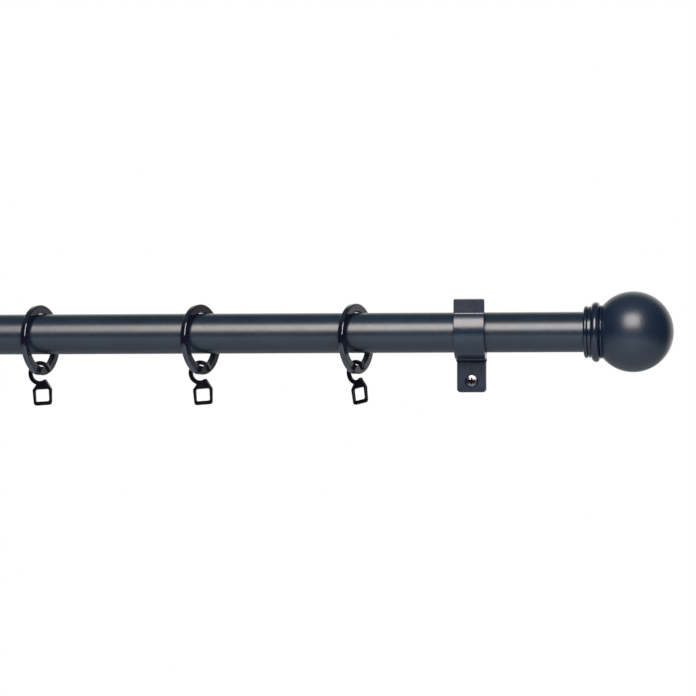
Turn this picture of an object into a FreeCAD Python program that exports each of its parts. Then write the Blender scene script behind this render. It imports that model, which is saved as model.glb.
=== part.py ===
import FreeCAD, Part
import math
import os

# Curtain rod with two wall brackets, nine rings with hooks and a ball finial at each end.
# Millimetres. X runs along the rod, +Y goes into the wall, +Z is up.
# The origin is on the wall, midway between the brackets, at the height of the rod's axis.

Vector = FreeCAD.Vector

# ---- rod ----
ROD_LENGTH = 1200.0
ROD_RADIUS = 14.0
ROD_WALL = 1.2
ROD_STANDOFF = 75.0            # wall to rod axis

# ---- finial: a turned collar over the rod's end, and a ball ----
SOCKET_DEPTH = 10.6            # length of rod inside the collar
SOCKET_PLAY = 0.05             # radial running fit
END_GAP = 0.3                  # rod end to the collar's web
COLLAR_LENGTH = 12.9
NECK_RADIUS = 17.9
GROOVE_RADIUS = 17.3
FRONT_BEAD_RADIUS = 18.2
FRONT_BEAD_WIDTH = 3.2
NECK_GROOVE_WIDTH = 0.4
MAIN_BEAD_RADIUS = 20.85
MAIN_BEAD_START = 5.1
MAIN_BEAD_WIDTH = 6.2
SEAT_RING_RADIUS = 18.6
SEAT_RING_WIDTH = 1.4
BALL_SEAT_STEP = 0.25          # ball's flat is this much smaller in radius than the seat ring
BALL_RADIUS = 28.0
BALL_WALL = 1.6
BALL_BOSS_RADIUS = 7.0
FINIAL_SCREW_RADIUS = 3.0
FINIAL_SCREW_REACH = 18.0      # screw length inside the ball
FINIAL_SCREW_HEAD_RADIUS = 6.0
FINIAL_SCREW_HEAD_HEIGHT = 3.0
FINIAL_SLOT_WIDTH = 1.2
FINIAL_SLOT_DEPTH = 1.5
GRUB_RADIUS = 2.0
GRUB_LENGTH = 5.0
HEX_KEY_SIZE = 2.0             # across flats

# ---- bracket ----
BRACKET_INSET = 89.5           # rod end to bracket centre
STRAP_WIDTH = 21.4
STRAP_THICKNESS = 3.2
STRAP_RADIUS = 19.8            # outer radius of the cradle's round part
STRAP_RISE = 1.2               # centre of that round part above the rod axis
SWELL_ANGLE = 33.0             # how far the round part climbs before it turns into the lip
LIP_TOP = 22.6
LIP_FOOT = 12.9
LIP_CORNER = 1.2
TAB_WIDTH = 20.2
TAB_SETBACK = 5.0              # tab's front face behind the rod axis
TAB_BOTTOM = -41.3
TAB_CORNER = 2.4
TAB_FOLD = 1.0                 # inside radius of the fold between cradle and tab
TAB_SHOULDER = 0.8             # the strap narrows this far below the fold's centre
EDGE_EASE = 0.5                # rounding of the strap's front edges
LINER_WIDTH = 18.0
LINER_TOP = 6.0
LINER_OVERLAP = 2.0            # how far it reaches under the rod, behind the axis
LINER_PLAY = 0.03

ARM_THICKNESS = 3.0
ARM_TOP = 6.0                  # top of the arm's level run
ARM_RADIUS = 16.8              # where the arm wraps the back of the rod
ARM_FLANGE_TOP = 15.0
ARM_FOLD = 2.0

PLATE_LENGTH = 60.0
PLATE_HEIGHT = 24.0
PLATE_THICKNESS = 3.0
PLATE_CENTRE = 5.0             # plate centre above the rod axis
PLATE_CORNER = 4.0
WALL_HOLE_SPACING = 44.0
WALL_HOLE_RADIUS = 2.6
WALL_HOLE_SINK_RADIUS = 4.5
RIVET_SPACING = 11.0
RIVET_RADIUS = 2.0
RIVET_HEAD_RADIUS = 3.2
RIVET_HEAD_HEIGHT = 1.3
RIVET_HEIGHT = 11.4

CLAMP_HEIGHT = -33.4           # screw axis in the tab
CLAMP_RADIUS = 2.0
CLAMP_HEAD_RADIUS = 3.9
CLAMP_SINK_RADIUS = 4.8
CLAMP_SINK_DEPTH = 2.5
CLAMP_HEAD_DROP = 0.7          # head below the tab's face
CLAMP_HEAD_HEIGHT = 1.4
CLAMP_DOME = 0.6
CROSS_LENGTH = 5.0
CROSS_WIDTH = 1.2
CROSS_DEPTH = 2.2
CROSS_TIP_RADIUS = 0.5         # the recess narrows to this at its bottom
CROSS_TURN = 5.0
NUT_FLATS = 7.0
NUT_THICKNESS = 3.2
SCREW_TAIL = 1.4

# ---- rings and hooks ----
RING_INNER_RADIUS = 18.5
RING_RADIAL = 6.1
RING_AXIAL = 4.2
RING_CORNER = 0.9
RING_GAP = 0.42                # ring to the top of the rod
RING_LEAN = 1.0                # degrees; the foot of each ring lies to the right of its top

LOOP_INNER_RADIUS = 5.5
LOOP_WIDTH = 3.0
LOOP_DROP = 1.4                # loop centre below the ring's section centre
LOOP_SHIFT = 0.75              # and to the left of it
LOOP_TIP_ANGLE = 12.0
LOOP_ROOT_ANGLE = 250.0
HOOK_THICKNESS = 2.0
HOOK_EASE = 0.45
EYE_OFFSET = 0.5               # eye centre to the right of the ring's section centre
EYE_WIDTH = 14.5
EYE_TAPER = 0.6                # each side comes in this much at the bottom
EYE_HOLE_WIDTH = 10.1
EYE_HOLE_HEIGHT = 8.4
EYE_HOLE_CORNER = 1.2
EYE_BOTTOM_BAR = 2.7
EYE_CORNER = 2.2
NECK_TOP = 4.7                 # below the loop centre
NECK_HEIGHT = 6.8              # neck top to the eye's hole
NECK_TOP_WIDTH = 6.9
WAIST_LEFT = 4.0               # where the loop's outside runs into the neck
WAIST_DROP = 9.6

# Each ring: place along the rod, turn of the ring, turn of its hook, tilt of its hook.
RINGS = (
    (-430.0, 20.0, 16.0, 3.0),
    (-323.0, 24.0, 20.0, -3.0),
    (-214.0, 22.0, 14.0, 4.0),
    (-107.0, 25.0, 22.0, 2.0),
    (0.0, 21.0, 16.0, -2.0),
    (104.0, 24.0, 18.0, 3.0),
    (208.6, 21.5, 14.0, 3.0),
    (321.5, 23.5, 14.0, 3.5),
    (430.4, 21.0, 39.0, 9.0),
)

TINY = 1e-6                    # lengths below this are zero
SIDES = (("left", -1.0), ("right", 1.0))
COLLAR_START = ROD_LENGTH / 2 - SOCKET_DEPTH
BRACKET_X = ROD_LENGTH / 2 - BRACKET_INSET
RING_CENTRE_Z = ROD_RADIUS + RING_GAP - RING_INNER_RADIUS
RING_MIDDLE_RADIUS = RING_INNER_RADIUS + RING_RADIAL / 2
RING_BOTTOM_Z = RING_CENTRE_Z - RING_MIDDLE_RADIUS * math.cos(math.radians(RING_LEAN))
RING_FOOT_SHIFT = RING_MIDDLE_RADIUS * math.sin(math.radians(RING_LEAN))


def side_point(forward, height):
    """A point in the plane across the rod: forward is away from the wall, from the rod axis."""
    return Vector(0, -ROD_STANDOFF - forward, height)


def arc_about(centre, radius, start, end):
    """Arc in the plane across the rod; angles in degrees, 0 is forward and 90 is up."""
    points = []
    for angle in (start, (start + end) / 2, end):
        turn = math.radians(angle)
        forward = centre[0] + radius * math.cos(turn)
        points.append(side_point(forward, centre[1] + radius * math.sin(turn)))
    return Part.Arc(points[0], points[1], points[2]).toShape()


def run(start, end):
    return Part.LineSegment(side_point(*start), side_point(*end)).toShape()


def strip(edges, thickness, width):
    """A bent strip: edges trace one face, the thickness is laid off it, the width is along X."""
    path = Part.Wire(edges)
    face = path.makeOffset2D(thickness, join=0, fill=True, openResult=True)
    solid = face.extrude(Vector(width, 0, 0))
    solid.translate(Vector(-width / 2, 0, 0))
    return solid


def cylinder_y(radius, length, front, height):
    """Cylinder along Y; front is how far its near end is forward of the rod axis."""
    start = side_point(front, height)
    return Part.makeCylinder(radius, length, start, Vector(0, 1, 0))


def placed(shape, side, centre_x):
    """Put a bracket piece at the left or right bracket; every piece is symmetric about X = 0."""
    moved = shape.copy()
    moved.translate(Vector(side * centre_x, 0, 0))
    return moved


# ---------------------------------------------------------------- rod
def pole_tube():
    start = Vector(-ROD_LENGTH / 2, -ROD_STANDOFF, 0)
    outer = Part.makeCylinder(ROD_RADIUS, ROD_LENGTH, start, Vector(1, 0, 0))
    inner = Part.makeCylinder(ROD_RADIUS - ROD_WALL, ROD_LENGTH, start, Vector(1, 0, 0))
    return outer.cut(inner)


# ---------------------------------------------------------------- finial
def turned(profile):
    """Revolve (along, radius) edges about the rod axis; along starts at the collar's open end."""
    face = Part.Face(Part.Wire(profile))
    return face.revolve(Vector(0, 0, 0), Vector(1, 0, 0), 360)


def straight(a, b):
    return Part.LineSegment(Vector(a[0], 0, a[1]), Vector(b[0], 0, b[1])).toShape()


def bulge(a, top, b):
    points = [Vector(p[0], 0, p[1]) for p in (a, top, b)]
    return Part.Arc(points[0], points[1], points[2]).toShape()


def finial_collar():
    bore = ROD_RADIUS + SOCKET_PLAY
    web = SOCKET_DEPTH + END_GAP
    bead_foot = FRONT_BEAD_RADIUS - FRONT_BEAD_WIDTH / 2
    groove_end = FRONT_BEAD_WIDTH + NECK_GROOVE_WIDTH
    neck_end = MAIN_BEAD_START - NECK_GROOVE_WIDTH
    main_end = MAIN_BEAD_START + MAIN_BEAD_WIDTH
    ring_start = COLLAR_LENGTH - SEAT_RING_WIDTH
    ring_ease = SEAT_RING_WIDTH / 2
    seat = SEAT_RING_RADIUS - ring_ease
    hole = FINIAL_SCREW_RADIUS
    edges = [
        straight((0, bore), (0, bead_foot)),
        bulge((0, bead_foot), (FRONT_BEAD_WIDTH / 2, FRONT_BEAD_RADIUS), (FRONT_BEAD_WIDTH, bead_foot)),
        straight((FRONT_BEAD_WIDTH, bead_foot), (groove_end, bead_foot)),
        straight((groove_end, bead_foot), (groove_end, NECK_RADIUS)),
        straight((groove_end, NECK_RADIUS), (neck_end, NECK_RADIUS)),
        straight((neck_end, NECK_RADIUS), (neck_end, GROOVE_RADIUS)),
        straight((neck_end, GROOVE_RADIUS), (MAIN_BEAD_START, GROOVE_RADIUS)),
        bulge((MAIN_BEAD_START, GROOVE_RADIUS),
              ((MAIN_BEAD_START + main_end) / 2, MAIN_BEAD_RADIUS), (main_end, GROOVE_RADIUS)),
        straight((main_end, GROOVE_RADIUS), (ring_start, seat)),
        bulge((ring_start, seat), (ring_start + ring_ease, SEAT_RING_RADIUS), (COLLAR_LENGTH, seat)),
        straight((COLLAR_LENGTH, seat), (COLLAR_LENGTH, hole)),
        straight((COLLAR_LENGTH, hole), (web, hole)),
        straight((web, hole), (web, bore)),
        straight((web, bore), (0, bore)),
    ]
    body = turned(edges)
    grub_x = MAIN_BEAD_START + MAIN_BEAD_WIDTH / 2
    hole_start = Vector(grub_x, 0, -MAIN_BEAD_RADIUS - 1)
    return body.cut(Part.makeCylinder(GRUB_RADIUS, MAIN_BEAD_RADIUS, hole_start, Vector(0, 0, 1)))


def finial_ball():
    """Hollow ball with a flat seat and an inner boss for the screw."""
    centre = COLLAR_LENGTH + math.sqrt(BALL_RADIUS ** 2 - (SEAT_RING_RADIUS - BALL_SEAT_STEP) ** 2)
    along = Vector(1, 0, 0)
    start = Vector(COLLAR_LENGTH, 0, 0)
    size = 2 * BALL_RADIUS + 2
    corner = Vector(COLLAR_LENGTH - size, -size / 2, -size / 2)
    trim = Part.makeBox(size, size, size, corner)
    ball = Part.makeSphere(BALL_RADIUS, Vector(centre, 0, 0)).cut(trim)
    trim.translate(Vector(BALL_WALL, 0, 0))
    boss = Part.makeCylinder(BALL_BOSS_RADIUS, FINIAL_SCREW_REACH + BALL_WALL, start, along)
    cavity = Part.makeSphere(BALL_RADIUS - BALL_WALL, Vector(centre, 0, 0)).cut(trim).cut(boss)
    bore = Part.makeCylinder(FINIAL_SCREW_RADIUS, FINIAL_SCREW_REACH, start, along)
    return ball.cut(cavity).cut(bore)


def finial_screw():
    web = SOCKET_DEPTH + END_GAP
    along = Vector(1, 0, 0)
    head_start = Vector(web - FINIAL_SCREW_HEAD_HEIGHT, 0, 0)
    head = Part.makeCylinder(FINIAL_SCREW_HEAD_RADIUS, FINIAL_SCREW_HEAD_HEIGHT, head_start, along)
    shank_length = COLLAR_LENGTH - web + FINIAL_SCREW_REACH
    shank = Part.makeCylinder(FINIAL_SCREW_RADIUS, shank_length, Vector(web, 0, 0), along)
    slot = Part.makeBox(FINIAL_SLOT_DEPTH, FINIAL_SLOT_WIDTH, 2 * FINIAL_SCREW_HEAD_RADIUS,
                        head_start - Vector(0, FINIAL_SLOT_WIDTH / 2, FINIAL_SCREW_HEAD_RADIUS))
    return head.fuse(shank).cut(slot).removeSplitter()


def hex_prism(flats, length):
    corner = flats / math.sqrt(3)
    points = []
    for step in range(7):
        turn = math.radians(60 * step)
        points.append(Vector(corner * math.cos(turn), corner * math.sin(turn), 0))
    return Part.Face(Part.makePolygon(points)).extrude(Vector(0, 0, length))


def finial_grub_screw():
    """Set screw from below, with a hex key socket; it bears on the rod."""
    grub_x = MAIN_BEAD_START + MAIN_BEAD_WIDTH / 2
    tip = -ROD_RADIUS - SOCKET_PLAY
    body = Part.makeCylinder(GRUB_RADIUS, GRUB_LENGTH, Vector(grub_x, 0, tip - GRUB_LENGTH))
    socket = hex_prism(HEX_KEY_SIZE, GRUB_LENGTH / 2)
    socket.translate(Vector(grub_x, 0, tip - GRUB_LENGTH))
    return body.cut(socket)


def finial_at(shape, side):
    """Move a finial piece from its own frame to the rod's left or right end."""
    moved = shape.copy()
    if side < 0:
        moved.rotate(Vector(0, 0, 0), Vector(0, 0, 1), 180)
    moved.translate(Vector(side * COLLAR_START, -ROD_STANDOFF, 0))
    return moved


# ---------------------------------------------------------------- bracket
def fold_centre():
    """Centre of the small fold where the cradle turns down into its tab."""
    forward = TAB_FOLD - TAB_SETBACK
    reach = STRAP_RADIUS + TAB_FOLD
    return (forward, STRAP_RISE - math.sqrt(reach ** 2 - forward ** 2))


def bracket_cradle():
    swell = math.radians(SWELL_ANGLE)
    centre = (0.0, STRAP_RISE)
    top = (STRAP_RADIUS * math.cos(swell), STRAP_RISE + STRAP_RADIUS * math.sin(swell))
    hollow = (LIP_FOOT - top[1]) / math.sin(swell)
    lip_face = top[0] - hollow * (1 - math.cos(swell))
    fold = fold_centre()
    fold_turn = math.degrees(math.atan2(fold[1] - STRAP_RISE, fold[0]))
    edges = [
        run((lip_face, LIP_TOP), (lip_face, LIP_FOOT)),
        arc_about((lip_face + hollow, LIP_FOOT), hollow, 180, 180 + SWELL_ANGLE),
        arc_about(centre, STRAP_RADIUS, SWELL_ANGLE, fold_turn),
        arc_about(fold, TAB_FOLD, fold_turn + 180, 180),
        run((-TAB_SETBACK, fold[1]), (-TAB_SETBACK, TAB_BOTTOM)),
    ]
    strap = strip(edges, -STRAP_THICKNESS, STRAP_WIDTH)
    lip_corners = [edge for edge in strap.Edges if is_end_corner(edge, LIP_TOP)]
    strap = strap.makeFillet(LIP_CORNER, lip_corners)
    path = Part.Wire(edges)
    strap = strap.makeFillet(EDGE_EASE, [edge for edge in strap.Edges if is_strap_rim(edge, path)])
    return finished_tab(strap, fold[1] - TAB_SHOULDER)


def finished_tab(strap, shoulder):
    """Narrow the tab below the shoulder, round its lower corners and sink the screw hole."""
    for side in (-1, 1):
        trim = Part.makeBox(STRAP_WIDTH, 2 * STRAP_RADIUS, shoulder - TAB_BOTTOM,
                            Vector(side * (TAB_WIDTH / 2 + STRAP_WIDTH / 2) - STRAP_WIDTH / 2,
                                   -ROD_STANDOFF - STRAP_RADIUS, TAB_BOTTOM))
        strap = strap.cut(trim)
    corners = [edge for edge in strap.Edges if is_end_corner(edge, TAB_BOTTOM)]
    strap = strap.makeFillet(TAB_CORNER, corners)
    strap = strap.makeFillet(EDGE_EASE, [edge for edge in strap.Edges if is_tab_rim(edge)])
    front = -TAB_SETBACK
    sink = Part.makeCone(CLAMP_SINK_RADIUS, CLAMP_RADIUS, CLAMP_SINK_DEPTH,
                         side_point(front, CLAMP_HEIGHT), Vector(0, 1, 0))
    hole = cylinder_y(CLAMP_RADIUS, STRAP_THICKNESS, front, CLAMP_HEIGHT)
    return strap.cut(sink.fuse(hole))


def is_end_corner(edge, height):
    """A straight edge through the strip's thickness at a corner of its end at this height."""
    box = edge.BoundBox
    along_y = box.XLength < TINY and box.ZLength < TINY
    return along_y and abs(box.ZMin - height) < TINY


def is_strap_rim(edge, path):
    """An edge round the strap's front surface; path is that surface seen from the side."""
    if edge.BoundBox.XLength > STRAP_WIDTH - TINY:
        return False
    start, end = edge.ParameterRange
    for parameter in (start, (start + end) / 2, end):
        point = edge.valueAt(parameter)
        if path.distToShape(Part.Vertex(0, point.y, point.z))[0] > TINY:
            return False
    return True


def is_tab_rim(edge):
    """An edge of the tab's front face."""
    box = edge.BoundBox
    in_face = box.YLength < TINY and abs(box.YMin + ROD_STANDOFF - TAB_SETBACK) < TINY
    return in_face and box.XLength < TAB_WIDTH - TINY


def cradle_liner():
    """Moulded saddle that fills the crescent between the rod and the cradle."""
    start = Vector(-LINER_WIDTH / 2, -ROD_STANDOFF, STRAP_RISE)
    along = Vector(1, 0, 0)
    outer = Part.makeCylinder(STRAP_RADIUS - STRAP_THICKNESS, LINER_WIDTH, start, along)
    start = Vector(-LINER_WIDTH / 2, -ROD_STANDOFF, 0)
    inner = Part.makeCylinder(ROD_RADIUS + LINER_PLAY, LINER_WIDTH, start, along)
    size = 2 * STRAP_RADIUS
    behind = Part.makeBox(LINER_WIDTH, size, 2 * size,
                          Vector(-LINER_WIDTH / 2, -ROD_STANDOFF + LINER_OVERLAP, -size))
    above = Part.makeBox(LINER_WIDTH, 2 * size, size,
                         Vector(-LINER_WIDTH / 2, -ROD_STANDOFF - size, LINER_TOP))
    return outer.cut(inner).cut(behind).cut(above)


def bracket_arm():
    """Strip from the wall plate, level to the rod, round its back and down behind the tab."""
    tab_front = TAB_SETBACK + STRAP_THICKNESS
    fold = ARM_FOLD / 2 + ARM_THICKNESS
    fold_forward = -tab_front - fold
    fold_height = -math.sqrt((ARM_RADIUS + fold) ** 2 - fold_forward ** 2)
    fold_turn = math.degrees(math.atan2(fold_height, fold_forward))
    flange = -ROD_STANDOFF + PLATE_THICKNESS + ARM_THICKNESS
    bend = ARM_TOP
    edges = [
        run((flange, ARM_FLANGE_TOP), (flange, ARM_TOP + ARM_FOLD)),
        arc_about((flange + ARM_FOLD, ARM_TOP + ARM_FOLD), ARM_FOLD, 180, 270),
        run((flange + ARM_FOLD, ARM_TOP), (-ARM_RADIUS - bend, ARM_TOP)),
        arc_about((-ARM_RADIUS - bend, 0), bend, 90, 0),
        arc_about((0, 0), ARM_RADIUS, 180, 360 + fold_turn),
        arc_about((fold_forward, fold_height), fold, 180 + fold_turn, 0),
        run((-tab_front, fold_height), (-tab_front, TAB_BOTTOM)),
    ]
    arm = strip(edges, -ARM_THICKNESS, TAB_WIDTH)
    corners = [edge for edge in arm.Edges if is_end_corner(edge, TAB_BOTTOM)]
    arm = arm.makeFillet(TAB_CORNER, corners)
    arm = arm.cut(cylinder_y(CLAMP_RADIUS, ARM_THICKNESS, -tab_front, CLAMP_HEIGHT))
    for side in (-1, 1):
        hole = cylinder_y(RIVET_RADIUS, 2 * ARM_THICKNESS, flange, RIVET_HEIGHT)
        hole.translate(Vector(side * RIVET_SPACING / 2, 0, 0))
        arm = arm.cut(hole)
    return arm


def wall_plate():
    plate = Part.makeBox(PLATE_LENGTH, PLATE_THICKNESS, PLATE_HEIGHT,
                         Vector(-PLATE_LENGTH / 2, -PLATE_THICKNESS, PLATE_CENTRE - PLATE_HEIGHT / 2))
    corners = []
    for edge in plate.Edges:
        box = edge.BoundBox
        if box.YLength > PLATE_THICKNESS / 2:
            corners.append(edge)
    plate = plate.makeFillet(PLATE_CORNER, corners)
    into_wall = Vector(0, 1, 0)
    for side in (-1, 1):
        start = Vector(side * WALL_HOLE_SPACING / 2, -PLATE_THICKNESS, PLATE_CENTRE)
        sink_depth = WALL_HOLE_SINK_RADIUS - WALL_HOLE_RADIUS
        sink = Part.makeCone(WALL_HOLE_SINK_RADIUS, WALL_HOLE_RADIUS, sink_depth, start, into_wall)
        hole = Part.makeCylinder(WALL_HOLE_RADIUS, PLATE_THICKNESS, start, into_wall)
        rivet_start = Vector(side * RIVET_SPACING / 2, -PLATE_THICKNESS, RIVET_HEIGHT)
        rivet = Part.makeCylinder(RIVET_RADIUS, PLATE_THICKNESS, rivet_start, into_wall)
        plate = plate.cut(sink).cut(hole).cut(rivet)
    return plate


def domed_head(radius, height, base):
    """Low spherical dome; base is the centre of its flat face and it stands out towards -Y."""
    ball_radius = (radius ** 2 + height ** 2) / (2 * height)
    centre = base + Vector(0, ball_radius - height, 0)
    ball = Part.makeSphere(ball_radius, centre)
    keep = Part.makeBox(2 * radius, height, 2 * radius, base - Vector(radius, height, radius))
    return ball.common(keep)


def arm_rivets():
    rivets = []
    flange_front = -PLATE_THICKNESS - ARM_THICKNESS
    for side in (-1, 1):
        base = Vector(side * RIVET_SPACING / 2, flange_front, RIVET_HEIGHT)
        shank = Part.makeCylinder(RIVET_RADIUS, -flange_front, base, Vector(0, 1, 0))
        rivets.append(shank.fuse(domed_head(RIVET_HEAD_RADIUS, RIVET_HEAD_HEIGHT, base)))
    return Part.makeCompound(rivets)


def clamp_screw():
    head_front = -TAB_SETBACK - CLAMP_HEAD_DROP
    start = side_point(head_front, CLAMP_HEIGHT)
    backward = Vector(0, 1, 0)
    head = Part.makeCone(CLAMP_HEAD_RADIUS, CLAMP_RADIUS, CLAMP_HEAD_HEIGHT, start, backward)
    dome = domed_head(CLAMP_HEAD_RADIUS, CLAMP_DOME, start)
    reach = STRAP_THICKNESS + ARM_THICKNESS + NUT_THICKNESS + SCREW_TAIL - CLAMP_HEAD_DROP
    shank = Part.makeCylinder(CLAMP_RADIUS, reach, start, backward)
    top = start - Vector(0, CLAMP_DOME, 0)
    arms = []
    for turn in (0, 90):
        arm = Part.makeBox(CROSS_LENGTH, CROSS_DEPTH, CROSS_WIDTH,
                           top - Vector(CROSS_LENGTH / 2, 0, CROSS_WIDTH / 2))
        arm.rotate(start, backward, turn + CROSS_TURN)
        arms.append(arm)
    taper = Part.makeCone(CROSS_LENGTH / 2, CROSS_TIP_RADIUS, CROSS_DEPTH, top, backward)
    return head.fuse(dome).fuse(shank).cut(arms[0].fuse(arms[1]).common(taper))


def clamp_nut():
    nut = hex_prism(NUT_FLATS, NUT_THICKNESS)
    nut = nut.cut(Part.makeCylinder(CLAMP_RADIUS, NUT_THICKNESS))
    nut.rotate(Vector(0, 0, 0), Vector(1, 0, 0), -90)
    nut.translate(side_point(-TAB_SETBACK - STRAP_THICKNESS - ARM_THICKNESS, CLAMP_HEIGHT))
    return nut


# ---------------------------------------------------------------- rings and hooks
def ring_shape():
    """Ring about its own centre, in the YZ plane, with a rounded oblong section."""
    low = RING_INNER_RADIUS
    high = RING_INNER_RADIUS + RING_RADIAL
    half = RING_AXIAL / 2
    corners = [Vector(-half, 0, low), Vector(half, 0, low), Vector(half, 0, high),
               Vector(-half, 0, high), Vector(-half, 0, low)]
    face = Part.Face(Part.makePolygon(corners))
    ring = face.revolve(Vector(0, 0, 0), Vector(1, 0, 0), 360)
    circles = [edge for edge in ring.Edges if edge.Closed]
    return ring.makeFillet(RING_CORNER, circles)


def flat_point(across, up):
    """A point on the hook's back face, from the pivot."""
    return Vector(across, -HOOK_THICKNESS / 2, up)


def flat_plate(points):
    corners = [flat_point(*point) for point in points]
    return Part.Face(Part.makePolygon(corners + corners[:1])).extrude(Vector(0, HOOK_THICKNESS, 0))


def flat_disc(radius, across, up):
    return Part.makeCylinder(radius, HOOK_THICKNESS, flat_point(across, up), Vector(0, 1, 0))


def around_loop(radius, angle):
    """A point about the loop's centre; 0 is to the right and 90 is up."""
    turn = math.radians(angle)
    return (radius * math.cos(turn) - LOOP_SHIFT, radius * math.sin(turn) - LOOP_DROP)


def hook_loop():
    """Open loop, from its tip on the right, over the top and down the left to the neck."""
    outer = LOOP_INNER_RADIUS + LOOP_WIDTH
    middle = LOOP_INNER_RADIUS + LOOP_WIDTH / 2
    centre = around_loop(0, 0)
    band = flat_disc(outer, *centre).cut(flat_disc(LOOP_INNER_RADIUS, *centre))
    mouth_end = LOOP_ROOT_ANGLE - 360
    mouth = [centre]
    for angle in (LOOP_TIP_ANGLE, (LOOP_TIP_ANGLE + mouth_end) / 2, mouth_end):
        mouth.append(around_loop(3 * outer, angle))
    tip = flat_disc(LOOP_WIDTH / 2, *around_loop(middle, LOOP_TIP_ANGLE))
    return band.cut(flat_plate(mouth)).fuse(tip)


def hook_eye():
    """House-shaped neck that widens into a square eye."""
    left = EYE_OFFSET - EYE_WIDTH / 2
    right = EYE_OFFSET + EYE_WIDTH / 2
    top = -LOOP_DROP - NECK_TOP
    shoulder = top - NECK_HEIGHT
    bottom = shoulder - EYE_HOLE_HEIGHT - EYE_BOTTOM_BAR
    neck_left = around_loop(LOOP_INNER_RADIUS + LOOP_WIDTH / 2, LOOP_ROOT_ANGLE)[0]
    plate = flat_plate([
        (neck_left, top), (neck_left + NECK_TOP_WIDTH, top), (right, shoulder),
        (right - EYE_TAPER, bottom), (left + EYE_TAPER, bottom), (left, shoulder),
        (-WAIST_LEFT, -WAIST_DROP),
    ])
    low_corners = [edge for edge in plate.Edges if is_through(edge) and edge.BoundBox.ZMax < bottom + TINY]
    plate = plate.makeFillet(EYE_CORNER, low_corners)
    hole = Part.makeBox(EYE_HOLE_WIDTH, HOOK_THICKNESS, EYE_HOLE_HEIGHT,
                        flat_point(EYE_OFFSET - EYE_HOLE_WIDTH / 2, shoulder - EYE_HOLE_HEIGHT))
    hole = hole.makeFillet(EYE_HOLE_CORNER, [edge for edge in hole.Edges if is_through(edge)])
    return plate.cut(hole).cut(flat_disc(LOOP_INNER_RADIUS, *around_loop(0, 0)))


def is_through(edge):
    """An edge that runs through the hook's thickness."""
    return edge.BoundBox.YLength > HOOK_THICKNESS / 2


def hook_shape():
    """Flat hook about its pivot, which is the centre of the ring's section."""
    solid = hook_loop().fuse(hook_eye()).removeSplitter()
    rims = [edge for edge in solid.Edges if not is_through(edge)]
    return solid.makeFillet(HOOK_EASE, rims)


def ring_at(shape, place, turn):
    moved = shape.copy()
    moved.rotate(Vector(0, 0, 0), Vector(0, 0, 1), -turn)
    moved.rotate(Vector(0, 0, 0), Vector(0, -1, 0), RING_LEAN)
    moved.translate(Vector(place, -ROD_STANDOFF, RING_CENTRE_Z))
    return moved


def hook_at(shape, place, turn, tilt):
    moved = shape.copy()
    moved.rotate(Vector(0, 0, 0), Vector(0, -1, 0), tilt)
    moved.rotate(Vector(0, 0, 0), Vector(0, 0, 1), -turn)
    moved.translate(Vector(place + RING_FOOT_SHIFT, -ROD_STANDOFF, RING_BOTTOM_Z))
    return moved


# ---------------------------------------------------------------- write the nodes
def save(shape, name):
    solids = shape.Solids
    if not shape.isValid() or not solids:
        raise RuntimeError(name + " is not a valid solid")
    print("%-24s solids %d volume %.1f" % (name, len(solids), shape.Volume))
    result = solids[0] if len(solids) == 1 else Part.makeCompound(solids)
    result.exportStep(os.path.join("parts", name + ".step"))


def main():
    os.makedirs("parts", exist_ok=True)
    save(pole_tube(), "pole_tube")
    finial_pieces = {
        "finial_ball": finial_ball(),
        "finial_collar": finial_collar(),
        "finial_screw": finial_screw(),
        "finial_grub_screw": finial_grub_screw(),
    }
    bracket_pieces = {
        "bracket_cradle": bracket_cradle(),
        "cradle_liner": cradle_liner(),
        "bracket_arm": bracket_arm(),
        "wall_plate": wall_plate(),
        "arm_rivets": arm_rivets(),
        "clamp_screw": clamp_screw(),
        "clamp_nut": clamp_nut(),
    }
    for side_name, side in SIDES:
        for name, shape in finial_pieces.items():
            save(finial_at(shape, side), name + "_" + side_name)
        for name, shape in bracket_pieces.items():
            save(placed(shape, side, BRACKET_X), name + "_" + side_name)
    ring = ring_shape()
    hook = hook_shape()
    for number, (place, ring_turn, hook_turn, tilt) in enumerate(RINGS, start=1):
        save(ring_at(ring, place, ring_turn), "ring_%02d" % number)
        save(hook_at(hook, place, hook_turn, tilt), "ring_hook_%02d" % number)


main()
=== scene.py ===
import math

import bpy
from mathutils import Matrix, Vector


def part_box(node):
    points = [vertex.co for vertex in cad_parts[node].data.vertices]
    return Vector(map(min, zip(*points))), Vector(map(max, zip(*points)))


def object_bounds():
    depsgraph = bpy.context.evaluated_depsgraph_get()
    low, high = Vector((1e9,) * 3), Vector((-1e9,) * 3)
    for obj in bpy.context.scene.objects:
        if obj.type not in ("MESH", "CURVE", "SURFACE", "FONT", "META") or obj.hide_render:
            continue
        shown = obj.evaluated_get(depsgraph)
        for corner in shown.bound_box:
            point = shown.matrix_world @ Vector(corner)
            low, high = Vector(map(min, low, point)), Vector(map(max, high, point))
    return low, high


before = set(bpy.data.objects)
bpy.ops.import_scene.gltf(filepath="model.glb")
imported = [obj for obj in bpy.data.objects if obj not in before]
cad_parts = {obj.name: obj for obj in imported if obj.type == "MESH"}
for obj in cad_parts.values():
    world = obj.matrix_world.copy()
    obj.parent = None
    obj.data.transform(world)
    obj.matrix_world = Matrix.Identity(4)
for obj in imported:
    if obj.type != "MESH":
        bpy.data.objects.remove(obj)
cad_low, cad_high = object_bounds()

# ---- camera: a long lens a little to the right of the rod and a little below it ----
VIEW_WIDTH = 0.4840            # metres seen across the picture at the rod
CAMERA_DISTANCE = 4.5
CAMERA_AZIMUTH = 6.0
CAMERA_ELEVATION = -2.3
SENSOR = 36.0                  # millimetres
FAR_CLIP = 100.0
CENTRE_LEFT_OF_BRACKET = 0.0857
CENTRE_BELOW_ROD = 0.0104

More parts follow.
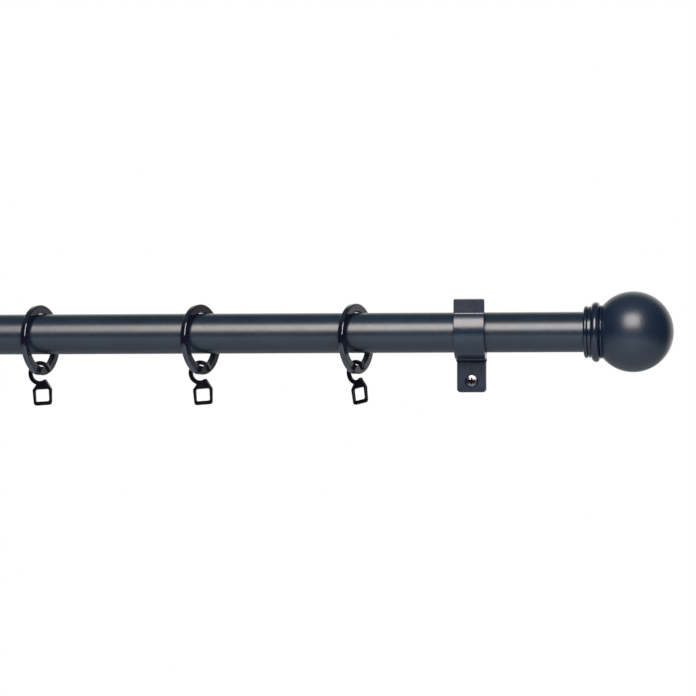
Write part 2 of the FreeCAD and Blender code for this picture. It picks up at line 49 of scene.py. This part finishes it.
# ---- studio: azimuth 0 is the room side, 180 is behind the rod; metres and watts ----
FLOOR_DEPTH = 0.6              # floor below the lowest point
FLOOR_SIZE = 4.2
SOFTBOX_AZIMUTH = 5.0
SOFTBOX_ELEVATION = 30.5
SOFTBOX_DISTANCE = 2.2
SOFTBOX_WIDTH = 1.55
SOFTBOX_HEIGHT = 1.4
SOFTBOX_POWER = 92.0
SOFTBOX_TINT = (1.0, 0.93, 0.90)
ROOM_FRONT = 0.02              # light that comes from the room side
ROOM_BEHIND = 1.45             # from behind the rod
ROOM_BEHIND_TINT = (1.0, 0.98, 0.94)
ROOM_HIGH = 0.16               # from above
ROOM_LOW = 0.50                # from below
ROOM_END_TINT = (0.80, 0.94, 1.0)
BEHIND_SPAN = (0.46, 0.95)     # part of the direction that points into the wall, start to full
BELOW_SPAN = (-0.9, -0.1)      # part that points up, full to none
ABOVE_SPAN = (0.5, 0.9)        # none to full

# ---- painted shade in slots: how closed in a surface has to be before its colour is painted dark ----
PAINTED_SHADE_REACH = 0.0016
PAINTED_SHADE_FULL_AT_COVER = 0.55         # share of the sky left at a slot's floor
PAINTED_SHADE_NONE_AT_COVER = 0.92
# darkest painted shade, as a share of the colour left at a slot's floor
PAINTED_SHADE_DARKEST = 0.02
PAINTED_SHADE_SAMPLES = 8

BUMP_STRENGTH = 1.0
NOISE_LOW, NOISE_HIGH = 0.3, 0.7   # where nearly all of the noise lies


def middle(node):
    low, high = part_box(node)
    return (low + high) / 2


def direction(azimuth, elevation):
    """Unit vector from the object towards azimuth (0 is the room side, -Y) and elevation."""
    turn, rise = math.radians(azimuth), math.radians(elevation)
    return Vector((math.sin(turn) * math.cos(rise), -math.cos(turn) * math.cos(rise), math.sin(rise)))


def aim(obj, target):
    obj.rotation_euler = (target - obj.location).to_track_quat("-Z", "Y").to_euler()


# ---------------------------------------------------------------- camera
def make_camera():
    bracket = middle("clamp_screw_right")
    rod = middle("pole_tube")
    target = Vector((bracket.x - CENTRE_LEFT_OF_BRACKET, rod.y, rod.z - CENTRE_BELOW_ROD))
    data = bpy.data.cameras.new("camera")
    data.sensor_width = SENSOR
    data.lens = SENSOR * CAMERA_DISTANCE / VIEW_WIDTH
    data.clip_end = FAR_CLIP
    camera = bpy.data.objects.new("camera", data)
    bpy.context.scene.collection.objects.link(camera)
    camera.location = target + direction(CAMERA_AZIMUTH, CAMERA_ELEVATION) * CAMERA_DISTANCE
    aim(camera, target)
    bpy.context.scene.camera = camera
    return target


# ---------------------------------------------------------------- node helpers
def new_material(name):
    material = bpy.data.materials.new(name)
    material.use_nodes = True
    tree = material.node_tree
    shader = tree.nodes["Principled BSDF"]
    return material, tree, shader


def noise(tree, scale, detail=3.0, roughness=0.5, stretch=(1.0, 1.0, 1.0)):
    """Noise in object space, so it is the size it says whatever the piece; scale is per metre."""
    place = tree.nodes.new("ShaderNodeTexCoord")
    mapping = tree.nodes.new("ShaderNodeMapping")
    mapping.inputs["Scale"].default_value = stretch
    texture = tree.nodes.new("ShaderNodeTexNoise")
    texture.inputs["Scale"].default_value = scale
    texture.inputs["Detail"].default_value = detail
    texture.inputs["Roughness"].default_value = roughness
    tree.links.new(place.outputs["Object"], mapping.inputs["Vector"])
    tree.links.new(mapping.outputs["Vector"], texture.inputs["Vector"])
    return texture.outputs["Fac"]


def ramp(tree, source, low, high, start=0.35, end=0.65):
    """Colour that runs from low to high as the source runs from start to end."""
    node = tree.nodes.new("ShaderNodeValToRGB")
    node.color_ramp.elements[0].position = start
    node.color_ramp.elements[1].position = end
    node.color_ramp.elements[0].color = (*low, 1.0)
    node.color_ramp.elements[1].color = (*high, 1.0)
    tree.links.new(source, node.inputs["Fac"])
    return node.outputs["Color"]


def span(tree, source, low, high):
    """Number that runs from low to high over the range of the noise."""
    node = tree.nodes.new("ShaderNodeMapRange")
    node.inputs["From Min"].default_value = NOISE_LOW
    node.inputs["From Max"].default_value = NOISE_HIGH
    node.inputs["To Min"].default_value = low
    node.inputs["To Max"].default_value = high
    tree.links.new(source, node.inputs["Value"])
    return node.outputs["Result"]


def bump(tree, shader, source, depth):
    node = tree.nodes.new("ShaderNodeBump")
    node.inputs["Strength"].default_value = BUMP_STRENGTH
    node.inputs["Distance"].default_value = depth
    tree.links.new(source, node.inputs["Height"])
    tree.links.new(node.outputs["Normal"], shader.inputs["Normal"])


def paint_slot_shade(tree, colour):
    """Painted shade: the colour scaled nearly to black where nearby walls, found by an occlusion
    node, close the surface in.
    """
    cover = tree.nodes.new("ShaderNodeAmbientOcclusion")
    cover.samples = PAINTED_SHADE_SAMPLES
    cover.inputs["Distance"].default_value = PAINTED_SHADE_REACH
    # painted shade: how much of the colour is kept, from the share of open sky around the point
    unshaded_share = tree.nodes.new("ShaderNodeMapRange")
    unshaded_share.inputs["From Min"].default_value = PAINTED_SHADE_FULL_AT_COVER
    unshaded_share.inputs["From Max"].default_value = PAINTED_SHADE_NONE_AT_COVER
    unshaded_share.inputs["To Min"].default_value = PAINTED_SHADE_DARKEST
    unshaded_share.inputs["To Max"].default_value = 1.0
    tree.links.new(cover.outputs["AO"], unshaded_share.inputs["Value"])
    mix = tree.nodes.new("ShaderNodeVectorMath")
    mix.operation = "SCALE"
    tree.links.new(colour, mix.inputs[0])
    tree.links.new(unshaded_share.outputs["Result"], mix.inputs["Scale"])
    return mix.outputs["Vector"]


# ---------------------------------------------------------------- materials
def satin_paint(name, dark, light, rough, grain=0.000008, sheen=0.5, glint=(1.0, 1.0, 1.0)):
    """Sprayed satin paint: a slow drift of tone, fine flow texture and uneven gloss.

    Grain is the texture's depth in metres, sheen the strength of the gloss, glint its tint.
    """
    material, tree, shader = new_material(name)
    tone = noise(tree, 38.0, 4.0, 0.6)
    flow = noise(tree, 900.0, 3.0, 0.55)
    gloss = noise(tree, 160.0, 4.0, 0.6)
    tree.links.new(ramp(tree, tone, dark, light), shader.inputs["Base Color"])
    tree.links.new(span(tree, gloss, rough - 0.025, rough + 0.025), shader.inputs["Roughness"])
    shader.inputs["Specular IOR Level"].default_value = sheen
    shader.inputs["Specular Tint"].default_value = (*glint, 1.0)
    bump(tree, shader, flow, grain)
    return material


def hook_plastic():
    """Black moulded plastic with a faint pebble and rubbed shine."""
    material, tree, shader = new_material("hook_plastic")
    tone = noise(tree, 220.0, 3.0, 0.6)
    pebble = noise(tree, 2600.0, 2.0, 0.5)
    gloss = noise(tree, 420.0, 3.0, 0.6)
    dark, light = (0.001, 0.001, 0.002), (0.002, 0.002, 0.004)
    tree.links.new(ramp(tree, tone, dark, light), shader.inputs["Base Color"])
    tree.links.new(span(tree, gloss, 0.26, 0.36), shader.inputs["Roughness"])
    shader.inputs["Specular IOR Level"].default_value = 0.35
    shader.inputs["Specular Tint"].default_value = (0.75, 0.80, 1.0, 1.0)
    bump(tree, shader, pebble, 0.00001)
    return material


def liner_plastic():
    material, tree, shader = new_material("liner_plastic")
    tone = noise(tree, 150.0, 3.0, 0.6)
    pebble = noise(tree, 1800.0, 2.0, 0.5)
    dark, light = (0.008, 0.008, 0.009), (0.016, 0.016, 0.018)
    tree.links.new(ramp(tree, tone, dark, light), shader.inputs["Base Color"])
    tree.links.new(span(tree, pebble, 0.55, 0.7), shader.inputs["Roughness"])
    bump(tree, shader, pebble, 0.00002)
    return material


def zinc_steel():
    """Zinc-plated steel with faint streaks from the plating drum, and painted shade darkening its
    slots and recesses.
    """
    material, tree, shader = new_material("zinc_steel")
    shader.inputs["Metallic"].default_value = 1.0
    tone = noise(tree, 700.0, 4.0, 0.65)
    streak = noise(tree, 1500.0, 3.0, 0.6, (1.0, 1.0, 0.15))
    dark, light = (0.10, 0.095, 0.105), (0.18, 0.17, 0.19)
    plating = ramp(tree, tone, dark, light)
    # painted shade: the plating colour goes nearly black inside the cross recess and other narrow
    # slots
    tree.links.new(paint_slot_shade(tree, plating), shader.inputs["Base Color"])
    tree.links.new(span(tree, streak, 0.16, 0.26), shader.inputs["Roughness"])
    bump(tree, shader, streak, 0.000006)
    return material


def floor_paint():
    material, tree, shader = new_material("floor_paint")
    tone = noise(tree, 3.0, 3.0, 0.5)
    tree.links.new(ramp(tree, tone, (0.68, 0.77, 0.84), (0.72, 0.81, 0.88)),
                   shader.inputs["Base Color"])
    shader.inputs["Roughness"].default_value = 0.8
    return material


def dress_frame():
    """Give every CAD node its finish."""
    rod = satin_paint("rod_paint", (0.004, 0.010, 0.020), (0.006, 0.015, 0.027), 0.31)
    strap = satin_paint("bracket_paint", (0.003, 0.009, 0.022), (0.005, 0.013, 0.028), 0.25)
    turned = satin_paint("finial_paint", (0.004, 0.011, 0.024), (0.006, 0.014, 0.030), 0.34)
    collar = satin_paint("collar_paint", (0.003, 0.008, 0.019), (0.005, 0.011, 0.024), 0.20)
    ring = satin_paint("ring_paint", (0.003, 0.004, 0.010), (0.005, 0.006, 0.015), 0.08,
                       grain=0.000002, sheen=1.0, glint=(0.86, 0.88, 1.0))
    hook = hook_plastic()
    liner = liner_plastic()
    zinc = zinc_steel()
    finishes = (
        ("pole_tube", rod), ("finial_ball", turned), ("finial_collar", collar),
        ("finial_screw", zinc), ("finial_grub_screw", zinc), ("clamp_screw", zinc),
        ("clamp_nut", zinc), ("bracket_", strap), ("wall_plate", strap), ("arm_rivets", strap),
        ("cradle_liner", liner), ("ring_hook", hook), ("ring_", ring),
    )
    for name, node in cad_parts.items():
        finish = next(paint for start, paint in finishes if name.startswith(start))
        for place in node.material_slots:
            place.material = finish


# ---------------------------------------------------------------- studio
def make_softbox(target):
    data = bpy.data.lights.new("softbox", "AREA")
    data.shape = "RECTANGLE"
    data.size = SOFTBOX_WIDTH
    data.size_y = SOFTBOX_HEIGHT
    data.energy = SOFTBOX_POWER
    data.color = SOFTBOX_TINT
    light = bpy.data.objects.new("softbox", data)
    bpy.context.scene.collection.objects.link(light)
    light.location = target + direction(SOFTBOX_AZIMUTH, SOFTBOX_ELEVATION) * SOFTBOX_DISTANCE
    aim(light, target)


def world_span(tree, source, low, high, span_of_direction):
    """Smooth change from low to high as one part of the direction crosses the span."""
    start, end = span_of_direction
    node = tree.nodes.new("ShaderNodeMapRange")
    node.interpolation_type = "SMOOTHSTEP"
    node.inputs["From Min"].default_value = start
    node.inputs["From Max"].default_value = end
    node.inputs["To Min"].default_value = low
    node.inputs["To Max"].default_value = high
    tree.links.new(source, node.inputs["Value"])
    return node.outputs["Result"]


def make_world():
    """White to look at; as a light, dim in front and brighter behind, above and below."""
    world = bpy.data.worlds.new("studio")
    bpy.context.scene.world = world
    world.use_nodes = True
    tree = world.node_tree
    sky = tree.nodes.new("ShaderNodeTexCoord")
    parts = tree.nodes.new("ShaderNodeSeparateXYZ")
    tree.links.new(sky.outputs["Generated"], parts.inputs["Vector"])
    depth = world_span(tree, parts.outputs["Y"], ROOM_FRONT, ROOM_BEHIND, BEHIND_SPAN)
    below = world_span(tree, parts.outputs["Z"], ROOM_LOW, 0.0, BELOW_SPAN)
    above = world_span(tree, parts.outputs["Z"], 0.0, ROOM_HIGH, ABOVE_SPAN)
    ends = tree.nodes.new("ShaderNodeMath")
    tree.links.new(below, ends.inputs[0])
    tree.links.new(above, ends.inputs[1])
    room = tree.nodes.new("ShaderNodeAddShader")
    parts_of_room = ((depth, ROOM_BEHIND_TINT), (ends.outputs["Value"], ROOM_END_TINT))
    for place, (strength, tint) in enumerate(parts_of_room):
        light = tree.nodes.new("ShaderNodeBackground")
        light.inputs["Color"].default_value = (*tint, 1.0)
        tree.links.new(strength, light.inputs["Strength"])
        tree.links.new(light.outputs["Background"], room.inputs[place])
    seen = tree.nodes["Background"]
    seen.inputs["Color"].default_value = (1.0, 1.0, 1.0, 1.0)
    path = tree.nodes.new("ShaderNodeLightPath")
    mix = tree.nodes.new("ShaderNodeMixShader")
    tree.links.new(path.outputs["Is Camera Ray"], mix.inputs["Fac"])
    tree.links.new(room.outputs["Shader"], mix.inputs[1])
    tree.links.new(seen.outputs["Background"], mix.inputs[2])
    tree.links.new(mix.outputs["Shader"], tree.nodes["World Output"].inputs["Surface"])


def make_floor():
    half = FLOOR_SIZE / 2
    centre = (cad_low + cad_high) / 2
    z = cad_low.z - FLOOR_DEPTH
    mesh = bpy.data.meshes.new("floor")
    corners = [(centre.x + sx * half, centre.y + sy * half, z)
               for sx, sy in ((-1, -1), (1, -1), (1, 1), (-1, 1))]
    mesh.from_pydata(corners, [], [(0, 1, 2, 3)])
    mesh.materials.append(floor_paint())
    floor = bpy.data.objects.new("floor", mesh)
    bpy.context.scene.collection.objects.link(floor)


def make_studio(target):
    make_world()
    make_floor()
    make_softbox(target)
    bpy.context.scene.view_settings.view_transform = "Standard"


target = make_camera()
dress_frame()
make_studio(target)
